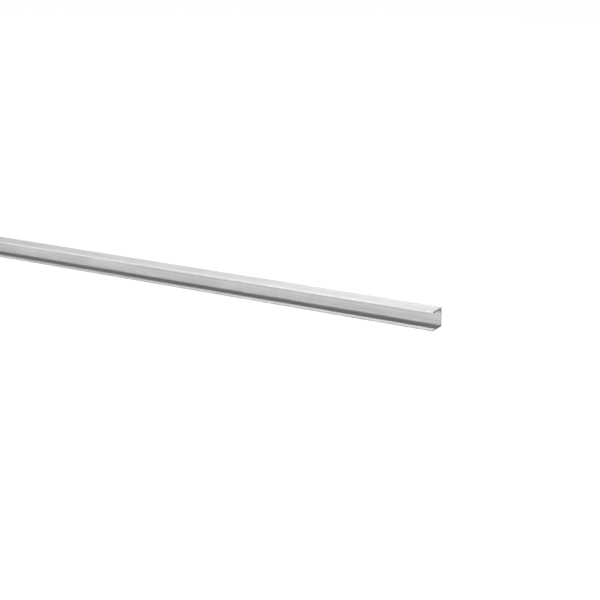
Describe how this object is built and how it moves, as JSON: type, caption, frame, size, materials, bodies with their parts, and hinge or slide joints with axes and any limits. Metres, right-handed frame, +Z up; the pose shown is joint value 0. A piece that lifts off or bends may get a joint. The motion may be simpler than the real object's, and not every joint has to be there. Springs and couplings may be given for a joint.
{
  "type": "aluminium u-channel bar",
  "caption": "Straight extruded aluminium bar with an equal-leg U section and sawn ends, for edging panels, guiding sheets and light framing.",
  "frame": {"origin": "middle of the underside of the lower flange, halfway along the bar", "axes": "+X along the bar, +Y from the open front to the back of the web, +Z up"},
  "size_m": [1, 0.02, 0.02],
  "materials": {
    "aluminium": "mill finish, satin, with fine die lines along the bar"
  },
  "bodies": {
    "root": {"u_channel": "aluminium"}
  },
  "joints": []
}
